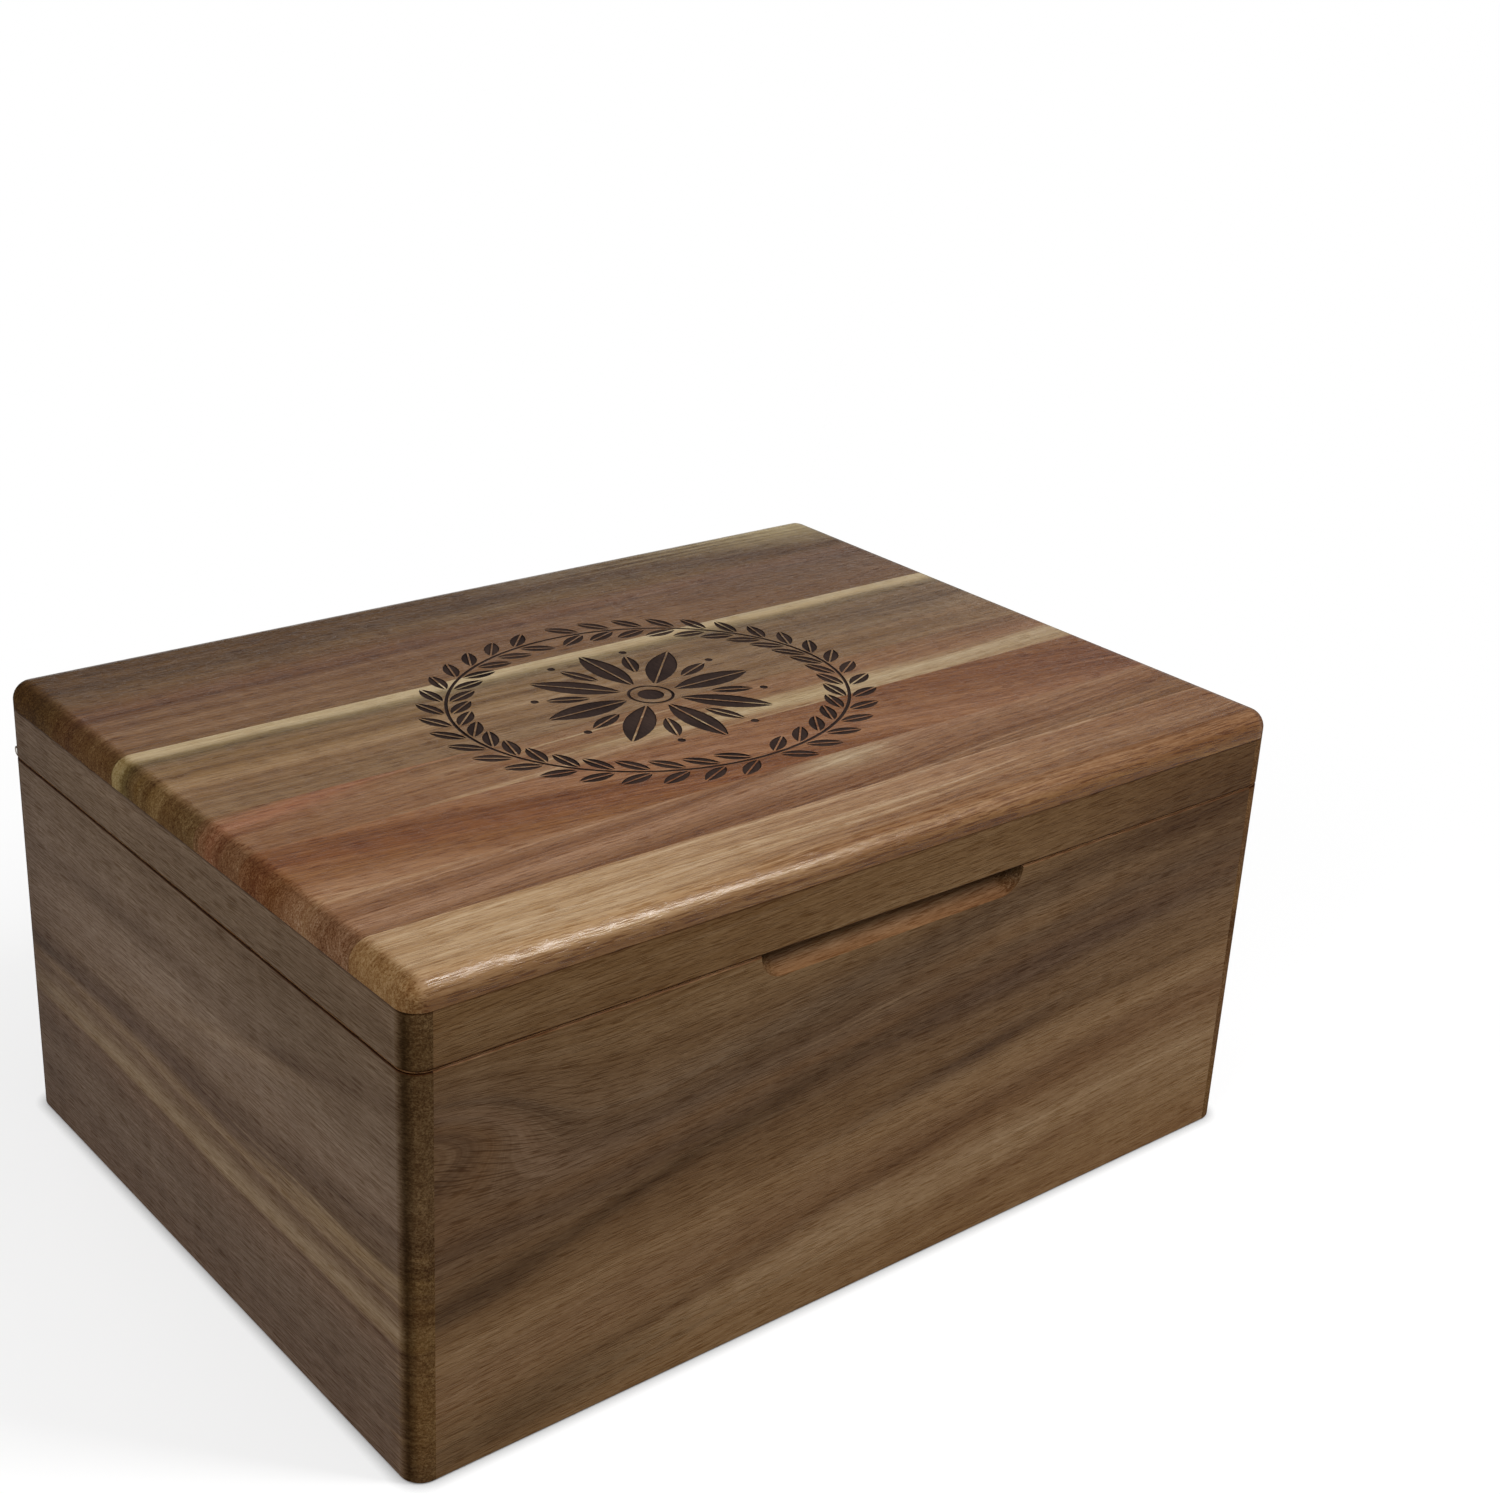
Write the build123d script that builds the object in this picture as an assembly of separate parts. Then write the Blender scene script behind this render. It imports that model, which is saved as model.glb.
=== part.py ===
"""A keepsake box in solid acacia.

The case is four boards round a staved floor. The lid is four rails under a staved
panel. Two bronze corner hinges join them at the back, and two pairs of magnets hold
the lid shut at the front.

Millimetres. +X is to the right, the front faces -Y, +Z is up. The origin is the middle
of the whole outline, hinge barrels included, on the plane that the box stands on.
"""

import os

from build123d import *

os.makedirs("parts", exist_ok=True)

# Case and lid
case_width = 320.0
case_depth = 235.0
body_height = 124.8        # from the table to the rim of the case
seam_gap = 0.4             # between the rim of the case and the rim of the lid
rail_height = 16.3         # lid rails, from their rim to the panel
panel_thickness = 8.5
wall = 10.0                # boards and rails
corner_radius = 6.5        # upright outer corners
panel_roundover = 6.0      # top edge of the lid panel
foot_easing = 1.0          # outer edge that meets the table
rim_easing = 0.4           # edges of both rims

# Corner joints: the side boards keep a tongue, the front and back boards keep a lip
side_tongue = 7.0
end_lip = 6.5

# Glue lines of the lid's staves, measured from the middle of the panel towards the back
lid_glue_lines = [83.5, 43.0, -7.5, -33.5, -66.5, -90.0]
least_stave = 6.0          # no glue line lies nearer than this to the panel's edge

# Floor, held in grooves
floor_thickness = 6.0
floor_height = 5.0         # from the table to the underside of the floor
groove_depth = 3.0
floor_clearance = 0.25     # between the edge of the floor and the groove's end
floor_staves = 4

# Finger notch in the front board, a scooped trough under the lid
notch_straight = 84.0      # between the centres of its two rounded ends
notch_radius = 8.2
notch_setback = 2.0        # the scoop's axis lies this far in front of the board

# Magnets, let in flush with the rims
magnet_radius = 2.5
magnet_thickness = 2.5
magnet_spacing = 198.0     # between the two magnets of one rim

# Hinges: an L-shaped leaf in each rim, and a barrel of three knuckles on the back edge
leaf_width = 6.0
leaf_thickness = 1.5
leaf_inset = 2.0           # from the side of the case to the leaf
side_leg_length = 30.0     # along the side, from the back face to its rounded end
barrel_length = 33.0
barrel_radius = 1.6
barrel_clearance = 0.3     # between a barrel and the wood or the other leaf
knuckle_length = 12.8      # the inner two; the corner knuckle takes the rest
knuckle_gap = 0.2
pin_radius = 0.9
pin_running_clearance = 0.05
pin_end = 0.6              # the pin's end that stands out of the barrel

# Hinge screws
screw_from_axis = [12.0, 27.0]
screw_length = 10.0
screw_radius = 1.1
screw_head_radius = 2.2
screw_tip = 2.0
screw_tip_radius = 0.15
cross_length = 2.6
cross_width = 0.5
cross_depth = 0.5

# Wood let in round the end of each hinge leaf of the lid
infill_radius = 10.0

# Places that follow from the sizes
beyond = 5.0               # how far a cutting block runs past what it cuts
level_tolerance = 0.001
half_width = case_width / 2
back = (case_depth - barrel_radius) / 2
front = back - case_depth
middle = (front + back) / 2
lid_rim = body_height + seam_gap
panel_base = lid_rim + rail_height
box_top = panel_base + panel_thickness
hinge_axis_z = body_height + seam_gap / 2
leaf_outer = -half_width + leaf_inset
leg_end_centre = back - side_leg_length + leaf_width / 2


def block(low, high):
    """A box between two opposite corners."""
    size = [b - a for a, b in zip(low, high)]
    centre = [(a + b) / 2 for a, b in zip(low, high)]
    return Pos(*centre) * Box(*size)


def rod_x(x_low, x_high, y, z, radius):
    """A round bar along X."""
    return Pos((x_low + x_high) / 2, y, z) * Rot(0, 90, 0) * Cylinder(radius, x_high - x_low)


def to_right(shape):
    """The right-hand twin of a shape on the left."""
    return mirror(shape, about=Plane.YZ)


def rounded_block(z_low, z_high):
    """The outline of the case, with its upright corners rounded."""
    blank = block((-half_width, front, z_low), (half_width, back, z_high))
    return fillet(blank.edges().filter_by(Axis.Z), corner_radius)


def cavity(z_low, z_high):
    """The space inside the boards or the rails."""
    return block(
        (-half_width + wall, front + wall, z_low),
        (half_width - wall, back - wall, z_high),
    )


def side_region(z_low, z_high):
    """The part of a ring of boards that belongs to the left board."""
    outside = -half_width - beyond
    core = block(
        (outside, front + end_lip, z_low - beyond),
        (-half_width + wall, back - end_lip, z_high + beyond),
    )
    tongues = block(
        (outside, front - beyond, z_low - beyond),
        (-half_width + side_tongue, back + beyond, z_high + beyond),
    )
    return core + tongues


def split_ring(ring, z_low, z_high):
    """The four boards of a ring: front, back, left and right."""
    left_region = side_region(z_low, z_high)
    right_region = to_right(left_region)
    ends = ring - left_region - right_region
    front_half = block(
        (-half_width - beyond, front - beyond, z_low - beyond),
        (half_width + beyond, middle, z_high + beyond),
    )
    return {
        "front": ends & front_half,
        "back": ends - front_half,
        "left": ring & left_region,
        "right": ring & right_region,
    }


def edges_at(shape, z):
    """The edges that lie level at one height."""
    return shape.edges().filter_by_position(Axis.Z, z - level_tolerance, z + level_tolerance)


# Hinges, drawn on the left and mirrored to the right

inner_knuckle = (leaf_outer + barrel_length - knuckle_length, leaf_outer + barrel_length)
middle_knuckle = (
    inner_knuckle[0] - knuckle_gap - knuckle_length,
    inner_knuckle[0] - knuckle_gap,
)
corner_knuckle = (leaf_outer, middle_knuckle[0] - knuckle_gap)


def leaf_plate(z_low, z_high):
    """The L of one leaf: a leg along the side with a round end, a leg along the back."""
    side_leg = block((leaf_outer, leg_end_centre, z_low), (leaf_outer + leaf_width, back, z_high))
    back_leg = block(
        (leaf_outer, back - leaf_width, z_low),
        (leaf_outer + barrel_length, back, z_high),
    )
    end_x = leaf_outer + leaf_width / 2
    round_end = Pos(end_x, leg_end_centre, (z_low + z_high) / 2)
    return side_leg + back_leg + round_end * Cylinder(leaf_width / 2, z_high - z_low)


def screw_blank():
    """A countersunk wood screw, its face at the origin, its tip down."""
    head_depth = screw_head_radius - screw_radius
    shank_length = screw_length - head_depth - screw_tip
    head = Pos(0, 0, -head_depth / 2) * Cone(screw_radius, screw_head_radius, head_depth)
    shank = Pos(0, 0, -head_depth - shank_length / 2) * Cylinder(screw_radius, shank_length)
    tip_z = -screw_length + screw_tip / 2
    tip = Pos(0, 0, tip_z) * Cone(screw_tip_radius, screw_radius, screw_tip)
    return head + shank + tip


def screw():
    """The screw with the cross in its head."""
    slot = Pos(0, 0, -cross_depth / 2) * Box(cross_length, cross_width, cross_depth)
    return screw_blank() - slot - Rot(0, 0, 90) * slot


def at_screws(shape, z, upwards):
    """Copies of a screw in the side leg of a left leaf; those of the lid point up."""
    turn = Rot(180, 0, 0) if upwards else Rot(0, 0, 0)
    x = leaf_outer + leaf_width / 2
    return [Pos(x, back - reach, z) * turn * shape for reach in screw_from_axis]


def hinge_leaf(z_low, z_high, own_knuckles, other_knuckles, bore, screws):
    """One leaf with its knuckles, relieved round the other leaf's knuckles."""
    leaf = leaf_plate(z_low, z_high)
    for x_low, x_high in other_knuckles:
        leaf -= rod_x(
            x_low - knuckle_gap,
            x_high + knuckle_gap,
            back,
            hinge_axis_z,
            barrel_radius + barrel_clearance,
        )
    for x_low, x_high in own_knuckles:
        leaf += rod_x(x_low, x_high, back, hinge_axis_z, barrel_radius)
    bore_end = leaf_outer + barrel_length + beyond
    leaf -= rod_x(leaf_outer - beyond, bore_end, back, hinge_axis_z, bore)
    for blank in screws:
        leaf -= blank
    return leaf


def barrel_relief():
    """The hollow that both rims leave for the barrel and the pin's end."""
    return rod_x(
        leaf_outer - barrel_clearance,
        leaf_outer + barrel_length + pin_end + barrel_clearance,
        back,
        hinge_axis_z,
        barrel_radius + barrel_clearance,
    )


body_plate = leaf_plate(body_height - leaf_thickness, body_height)
lid_plate = leaf_plate(lid_rim, lid_rim + leaf_thickness)
body_screw_blanks = at_screws(screw_blank(), body_height, upwards=False)
lid_screw_blanks = at_screws(screw_blank(), lid_rim, upwards=True)

body_leaf = hinge_leaf(
    body_height - leaf_thickness,
    body_height,
    [inner_knuckle, corner_knuckle],
    [middle_knuckle],
    pin_radius,
    body_screw_blanks,
)
lid_leaf = hinge_leaf(
    lid_rim,
    lid_rim + leaf_thickness,
    [middle_knuckle],
    [inner_knuckle, corner_knuckle],
    pin_radius + pin_running_clearance,
    lid_screw_blanks,
)
hinge_pin = rod_x(
    leaf_outer, leaf_outer + barrel_length + pin_end, back, hinge_axis_z, pin_radius
)


# Magnets

def magnet(x, z_low):
    """A disc in the middle of the front rim's thickness."""
    centre = Pos(x, front + wall / 2, z_low + magnet_thickness / 2)
    return centre * Cylinder(magnet_radius, magnet_thickness)


body_magnet = magnet(-magnet_spacing / 2, body_height - magnet_thickness)
lid_magnet = magnet(-magnet_spacing / 2, lid_rim)


# Case

def floor_panel(clearance):
    """The floor, or the grooves that hold it when there is no clearance."""
    reach = wall - groove_depth + clearance
    return block(
        (-half_width + reach, front + reach, floor_height),
        (half_width - reach, back - reach, floor_height + floor_thickness),
    )


def finger_notch():
    """The scoop: a trough with round ends, its axis level with the rim."""
    y = front - notch_setback
    trough = rod_x(-notch_straight / 2, notch_straight / 2, y, body_height, notch_radius)
    for x in (-notch_straight / 2, notch_straight / 2):
        trough += Pos(x, y, body_height) * Sphere(notch_radius)
    return trough


def left_and_right(shape):
    """A shape on the left with its twin on the right."""
    return [shape, to_right(shape)]


body_ring = rounded_block(0, body_height)
body_ring = fillet(edges_at(body_ring, 0), foot_easing)
body_ring -= cavity(-beyond, body_height + beyond)
body_ring = chamfer(edges_at(body_ring, body_height), rim_easing)
body_ring -= floor_panel(0)
body_ring -= finger_notch()
for cutter in [body_plate, barrel_relief(), body_magnet] + body_screw_blanks:
    for placed in left_and_right(cutter):
        body_ring -= placed

# Lid

lid_ring = rounded_block(lid_rim, panel_base)
lid_ring -= cavity(lid_rim - beyond, panel_base + beyond)
lid_ring = chamfer(edges_at(lid_ring, lid_rim), rim_easing)


def infill_region():
    """The pocket beside the lid's left leaf, with a quarter-round front end."""
    inner_face = -half_width + wall
    z_high = lid_rim + leaf_thickness
    straight = block((leaf_outer, leg_end_centre, lid_rim), (inner_face, back - wall, z_high))
    disc_place = Pos(leaf_outer + infill_radius, leg_end_centre, (lid_rim + z_high) / 2)
    disc = disc_place * Cylinder(infill_radius, leaf_thickness)
    quarter = block(
        (leaf_outer, leg_end_centre - infill_radius, lid_rim),
        (inner_face, leg_end_centre, z_high),
    )
    return straight + (disc & quarter)


hinge_infill = (infill_region() & lid_ring) - lid_plate
for cutter in [infill_region(), lid_plate, barrel_relief(), lid_magnet] + lid_screw_blanks:
    for placed in left_and_right(cutter):
        lid_ring -= placed

lid_panel = rounded_block(panel_base, box_top)
lid_panel = fillet(edges_at(lid_panel, box_top), panel_roundover)


def staves(panel, glue_lines):
    """A panel cut along X at its glue lines, from the back to the front."""
    cuts = [back + beyond, *glue_lines, front - beyond]
    return [
        panel & block(
            (-half_width - beyond, low, -beyond),
            (half_width + beyond, high, box_top + beyond),
        )
        for high, low in zip(cuts, cuts[1:])
    ]


def lid_joints():
    """The lid's glue lines that lie within the panel."""
    reach = case_depth / 2 - least_stave
    return [middle + line for line in lid_glue_lines if abs(line) < reach]


def floor_joints():
    """Glue lines that share the floor's depth out evenly."""
    depth = case_depth - 2 * (wall - groove_depth + floor_clearance)
    return [middle + depth * (0.5 - turn / floor_staves) for turn in range(1, floor_staves)]


# Every piece under its own name

nodes = {}
for place, board in split_ring(body_ring, 0, body_height).items():
    nodes[f"case_{place}_board"] = board
for place, rail in split_ring(lid_ring, lid_rim, panel_base).items():
    nodes[f"lid_{place}_rail"] = rail

for number, stave in enumerate(staves(floor_panel(floor_clearance), floor_joints()), 1):
    nodes[f"floor_stave_{number}"] = stave
for number, stave in enumerate(staves(lid_panel, lid_joints()), 1):
    nodes[f"lid_stave_{number}"] = stave

left_pieces = {
    "hinge_case_leaf": [body_leaf],
    "hinge_lid_leaf": [lid_leaf],
    "hinge_pin": [hinge_pin],
    "hinge_case_screws": at_screws(screw(), body_height, upwards=False),
    "hinge_lid_screws": at_screws(screw(), lid_rim, upwards=True),
    "lid_hinge_infill": [hinge_infill],
    "case_magnet": [body_magnet],
    "lid_magnet": [lid_magnet],
}
for name, pieces in left_pieces.items():
    twins = [to_right(piece) for piece in pieces]
    for side, solids in (("left", pieces), ("right", twins)):
        nodes[f"{name}_{side}"] = Compound(children=solids) if len(solids) > 1 else solids[0]

for name, shape in nodes.items():
    export_step(shape, f"parts/{name}.step")
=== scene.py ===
"""The looks of a keepsake box in solid acacia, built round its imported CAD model.

The boards, rails, floor and hardware keep their CAD meshes and get their materials here.
The lid's middle staves are replaced by copies with an ornament engraved in them.

Metres. +X is to the right, the front faces -Y, +Z is up. Patterns are laid out in
millimetres on Object coordinates.
"""

from math import atan2, cos, e, pi, radians, sin, tan

import bpy
from mathutils import Matrix, Quaternion, Vector


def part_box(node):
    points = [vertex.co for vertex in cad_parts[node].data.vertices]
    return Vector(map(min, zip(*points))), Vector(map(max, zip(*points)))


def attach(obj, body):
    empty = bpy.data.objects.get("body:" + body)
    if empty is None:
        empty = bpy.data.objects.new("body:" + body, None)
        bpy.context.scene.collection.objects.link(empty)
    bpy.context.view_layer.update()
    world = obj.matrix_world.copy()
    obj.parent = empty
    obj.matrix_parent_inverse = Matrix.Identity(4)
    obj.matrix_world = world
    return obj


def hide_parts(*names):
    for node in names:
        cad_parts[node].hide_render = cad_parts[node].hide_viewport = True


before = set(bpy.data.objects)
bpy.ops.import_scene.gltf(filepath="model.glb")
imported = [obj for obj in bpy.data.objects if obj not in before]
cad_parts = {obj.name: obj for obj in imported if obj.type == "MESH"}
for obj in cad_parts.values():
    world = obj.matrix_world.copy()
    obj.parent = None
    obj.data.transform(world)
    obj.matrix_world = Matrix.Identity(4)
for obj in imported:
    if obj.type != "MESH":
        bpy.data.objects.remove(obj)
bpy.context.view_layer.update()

MM = 0.001

# The outline, read from the frame
back_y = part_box("lid_stave_1")[1].y
front_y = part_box("lid_stave_7")[0].y
middle_y = (front_y + back_y) / 2
box_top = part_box("lid_stave_1")[1].z


def colour(code):
    """An sRGB hex code as linear red, green, blue and alpha."""
    parts = [int(code[i:i + 2], 16) / 255 for i in (1, 3, 5)]
    return [c / 12.92 if c <= 0.04045 else ((c + 0.055) / 1.055) ** 2.4 for c in parts] + [1]


def add(tree, kind, settings, sockets):
    """One node with its settings, and its sockets set to values or linked to other nodes'."""
    made = tree.nodes.new(kind)
    for name, value in settings.items():
        setattr(made, name, value)
    for name, value in sockets.items():
        if isinstance(value, bpy.types.NodeSocket):
            tree.links.new(value, made.inputs[name])
        else:
            made.inputs[name].default_value = value
    return made


def empty_material(name):
    """A material with no nodes yet, and its tree."""
    made = bpy.data.materials.new(name)
    made.use_nodes = True
    made.node_tree.nodes.clear()
    return made, made.node_tree


# Acacia's figure: sizes in millimetres along the grain, across it and into the board

BENDS = (220, 50, 50)            # slow bends of the colour bands
WOBBLES = (50, 13, 13)           # small wobbles on those bends
BROAD_TONES = (260, 11, 24)      # spells of lighter and darker growth
GROWTH_LINES = (240, 2.6, 7)     # the lines of single years
STREAKS = (110, 0.8, 2)          # thin dark streaks within a year's growth
RIPPLE = (12, 34, 20)            # faint bars across the grain, where the fibres wave
PORES = (8, 0.34, 0.34)          # really 2 to 4 mm long and 0.2 mm wide, drawn coarser to show
FIBRES = (2.2, 0.24, 0.24)       # really 0.02 mm wide, drawn as fine as the render can show
PITS = (30, 0.6, 0.6)            # cut ends of pores, really 0.2 mm wide, drawn coarser to show
WOBBLE_REACH = 1.4               # millimetres from side to side
FOLLOW = 0.3                     # the share of a band's bends that pores and fibres follow
FRAY = 1.6                       # how far growth lines eat into the edge of a cloud
ENDLESS = 1e6                    # millimetres, well past the box

# Acacia's depth of tone, as parts of the power that its colours are raised to

BROAD_DEPTH = 0.12
RIPPLE_DEPTH = 0.06
FIBRE_DEPTH = 0.10
PIT_DEPTH = 0.28
PORE_LIFT = 0.04                 # makes up for the dark of the pores
END_LIFT = 0.14                  # makes up for the dark of the pits
INSIDE_LIFT = 0.08               # the faces inside the box, which get less oil, are lighter
INSIDE_TINT = "#fff1d4"          # and yellower

# Acacia's surface: heights in millimetres, and what is added to its roughness

PORE_HOLLOW = 0.05
FIBRE_RIDGE = 0.022
STREAK_RIDGE = 0.008
PORE_MATT = 0.15
FIBRE_MATT = 0.06
END_MATT = 0.75

# How squarely a surface faces an axis, from 0 to 1, where a finish starts and where it is full

END_GRAIN = (0.06, 0.5)
CORNER_LIP = (0.6, 0.9)
INSIDE_FACE = (0.6, 0.95)
RIM_FACE = (0.95, 0.99)


def acacia(name, grain, across, depth, start, inside, bands, edges, slope=0, wander=5, lines=0.2,
           pores=0.3, figures=(), clouds=(), seed=0, gloss=0.06, rough=0.5, glue_lines_and_gap_shade=(),
           ends="#d5d2ce", corners="#e6e2dc"):
    """Solid acacia, planed, sanded and rubbed with satin oil.

    Broad bands of colour run with the grain, with clouds of other tones, crossed by growth
    lines, finer streaks and short dark pores. The oil leaves a soft sheen. End grain soaks
    it up and looks matt and pitted; where it turns the box's front corners it is drawn
    darker still. The sawn edges along the grain are warmer in tone, the faces inside the
    box are lighter and yellower, a glue line is dark, and painted shade darkens the gap
    where the lid closes on the case.

    The grain, across and depth are axes. Distances across are counted from start, against
    the axis, and inside is 1 or -1, the way along depth that looks into the box. The bands
    slope by an angle in degrees and wander by some millimetres. Lines and pores say how
    dark the growth lines and the pores are, and ends and corners are the end grain's tints.
    """
    made, tree = empty_material(name)
    place = add(tree, "ShaderNodeTexCoord", {}, {})
    xyz = add(tree, "ShaderNodeSeparateXYZ", {}, {"Vector": place.outputs["Object"]})
    facing = add(tree, "ShaderNodeSeparateXYZ", {}, {"Vector": place.outputs["Normal"]})

    def summed(base, *terms):
        """A base and its terms added up, each term a value times a factor."""
        for value, factor in terms:
            base = add(tree, "ShaderNodeMath", {"operation": "MULTIPLY_ADD"}, {
                0: value, 1: factor, 2: base}).outputs[0]
        return base

    def noise(source, size, detail=0.0, shift=0.0, low=0.3, high=0.7):
        """Noise from 0 to 1 in grains of a size. The shift keeps one pattern off another's."""
        sized = add(tree, "ShaderNodeMapping", {"vector_type": "TEXTURE"}, {
            "Vector": source,
            "Location": (seed * 370.0 + shift, seed * 110.0 + shift, seed * 50.0),
            "Scale": size,
        })
        grains = add(tree, "ShaderNodeTexNoise", {}, {
            "Vector": sized.outputs[0], "Scale": 1.0, "Detail": detail, "Roughness": 0.6})
        return add(tree, "ShaderNodeMapRange", {}, {
            "Value": grains.outputs["Fac"], 1: low, 2: high}).outputs[0]

    def patch(source, u0, v0, reach_u, reach_v, turn=0, fray=1):
        """1 at a place and 0 well away from it, in a soft oval with its long axis turned."""
        oval = add(tree, "ShaderNodeMapping", {"vector_type": "TEXTURE"}, {
            "Vector": source, "Location": (u0, v0, 0), "Rotation": (0, 0, radians(turn)),
            "Scale": (reach_u, reach_v, ENDLESS)})
        square = add(tree, "ShaderNodeVectorMath", {"operation": "DOT_PRODUCT"},
                     {0: oval.outputs[0], 1: oval.outputs[0]})
        frayed = summed(0, (square.outputs["Value"], fray))
        return add(tree, "ShaderNodeMath", {"operation": "POWER"}, {0: 1 / e, 1: frayed}).outputs[0]

    def faces(axis, low, high, most=1):
        """The share of a surface that faces either way along an axis, from 0 to a most."""
        size = add(tree, "ShaderNodeMath", {"operation": "ABSOLUTE"}, {0: facing.outputs[axis]})
        return add(tree, "ShaderNodeMapRange", {}, {
            "Value": size.outputs[0], 1: low, 2: high, 4: most}).outputs[0]

    # Millimetres along the grain, across it and into the board
    u = summed(0, (xyz.outputs[grain], 1 / MM))
    v = summed(start / MM, (xyz.outputs[across], -1 / MM))
    w = summed(0, (xyz.outputs[depth], 1 / MM))
    flat = add(tree, "ShaderNodeCombineXYZ", {}, {0: u, 1: v, 2: w}).outputs[0]

    # The same places, shifted across to where they lie in straight wood
    sloping = summed(v, (u, tan(radians(slope))))
    shifted = summed(-wander / 2, (sloping, 1), (noise(flat, BENDS), wander))
    for u0, v0, reach_u, reach_v, rise in figures:
        shifted = summed(shifted, (patch(flat, u0, v0, reach_u, reach_v), rise))
    wobbles = noise(flat, WOBBLES, shift=90)
    shifted = summed(-WOBBLE_REACH / 2, (shifted, 1), (wobbles, WOBBLE_REACH))
    grown = add(tree, "ShaderNodeCombineXYZ", {}, {0: u, 1: shifted, 2: w}).outputs[0]
    leaning = summed(0, (v, 1 - FOLLOW), (shifted, FOLLOW))
    fibres = add(tree, "ShaderNodeCombineXYZ", {}, {0: u, 1: leaning, 2: w}).outputs[0]
    wavering = summed(shifted, (v, 1), (sloping, -1))
    wavy = add(tree, "ShaderNodeCombineXYZ", {}, {0: u, 1: wavering, 2: w}).outputs[0]

    broad = noise(grown, BROAD_TONES, 1, shift=70)
    growth = noise(grown, GROWTH_LINES, 3, shift=10)
    streaks = noise(grown, STREAKS, 2, shift=20)
    ripple = noise(flat, RIPPLE, 1, shift=30)
    pore = noise(fibres, PORES, shift=40, low=0.56, high=0.66)    # few and crisp
    fibre = noise(fibres, FIBRES, shift=50)
    pits = noise(flat, PITS, 1, shift=60, low=0.35, high=0.65)

    # Colours of the bands, then of the clouds, the sawn edges and the inside
    first, last = bands[0][0], bands[-1][0]
    share = add(tree, "ShaderNodeMapRange", {}, {"Value": shifted, 1: first, 2: last})
    ramp = add(tree, "ShaderNodeValToRGB", {}, {"Fac": share.outputs[0]})
    stops = ramp.color_ramp.elements
    stops[0].color, stops[1].color = colour(bands[0][1]), colour(bands[-1][1])
    for distance, code in bands[1:-1]:
        stops.new((distance - first) / (last - first)).color = colour(code)
    tone = ramp.outputs[0]
    ragged = summed(1 - FRAY / 2, (growth, FRAY))
    for code, strength, *oval in clouds:
        share = summed(0, (patch(wavy, *oval, fray=ragged), strength))
        tone = add(tree, "ShaderNodeMix", {"data_type": "RGBA"}, {
            0: share, 6: tone, 7: colour(code)}).outputs[2]
    for code, low, high, most in edges:
        tone = add(tree, "ShaderNodeMix", {"data_type": "RGBA"}, {
            0: faces(across, low, high, most), 6: tone, 7: colour(code)}).outputs[2]
    inner = add(tree, "ShaderNodeMapRange", {}, {
        "Value": facing.outputs[depth],
        1: INSIDE_FACE[0] * inside, 2: INSIDE_FACE[1] * inside}).outputs[0]
    tone = add(tree, "ShaderNodeMix", {"data_type": "RGBA", "blend_type": "MULTIPLY"}, {
        0: inner, 6: tone, 7: colour(INSIDE_TINT)}).outputs[2]

    # Depth of tone
    soaked = faces(grain, *END_GRAIN)
    layers = [(broad, BROAD_DEPTH), (growth, lines), (streaks, lines), (ripple, RIPPLE_DEPTH),
              (fibre, FIBRE_DEPTH)]
    density = 1 - sum(amount for _, amount in layers) / 2 - PORE_LIFT
    density = summed(
        density, *layers, (pore, pores), (inner, -INSIDE_LIFT), (soaked, -END_LIFT),
        (summed(0, (soaked, pits)), PIT_DEPTH))
    # Dark lines along the boards: a glue line, and painted shade in the gap where the lid closes,
    # kept off the faces that look up and down
    upright = summed(1, (faces(across, *RIM_FACE), -1))
    for distance, reach, dark in glue_lines_and_gap_shade:
        line = summed(0, (patch(flat, 0, distance, ENDLESS, reach), upright))
        density = summed(density, (line, dark))
    tone = add(tree, "ShaderNodeGamma", {}, {"Color": tone, "Gamma": density}).outputs[0]

    # End grain, and its darker turn at the front corners
    turned = summed(0, (soaked, faces(depth, *CORNER_LIP)))
    for share, code in ((soaked, ends), (turned, corners)):
        tone = add(tree, "ShaderNodeMix", {"data_type": "RGBA", "blend_type": "MULTIPLY"}, {
            0: share, 6: tone, 7: colour(code)}).outputs[2]

    height = summed(0, (pore, -PORE_HOLLOW), (fibre, FIBRE_RIDGE), (streaks, STREAK_RIDGE))
    bump = add(tree, "ShaderNodeBump", {}, {"Distance": MM, "Height": height, "Strength": 1})
    roughness = summed(rough, (pore, PORE_MATT), (fibre, FIBRE_MATT), (soaked, END_MATT))
    shader = add(tree, "ShaderNodeBsdfPrincipled", {}, {
        "Base Color": tone, "Roughness": roughness, "IOR": 1.46,
        "Specular IOR Level": gloss, "Normal": bump.outputs[0]})
    add(tree, "ShaderNodeOutputMaterial", {}, {"Surface": shader.outputs[0]})
    return made


CHAR_DARK = "#1c1413"
CHAR_LIGHT = "#3d2f29"
LASER_PASS = (0.35 * MM, 3 * MM, 1)    # really 0.1 mm apart, drawn coarser to show
PASS_GROOVE = 0.05 * MM
CHAR_CLOUD = 22 * MM                   # where the wood burnt more, or less
PASS_SHARE = 0.6                       # how much the passes show, against the clouds
CHAR_RANGE = (0.5, 1.1)                # where the two together turn from dark to light


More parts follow.
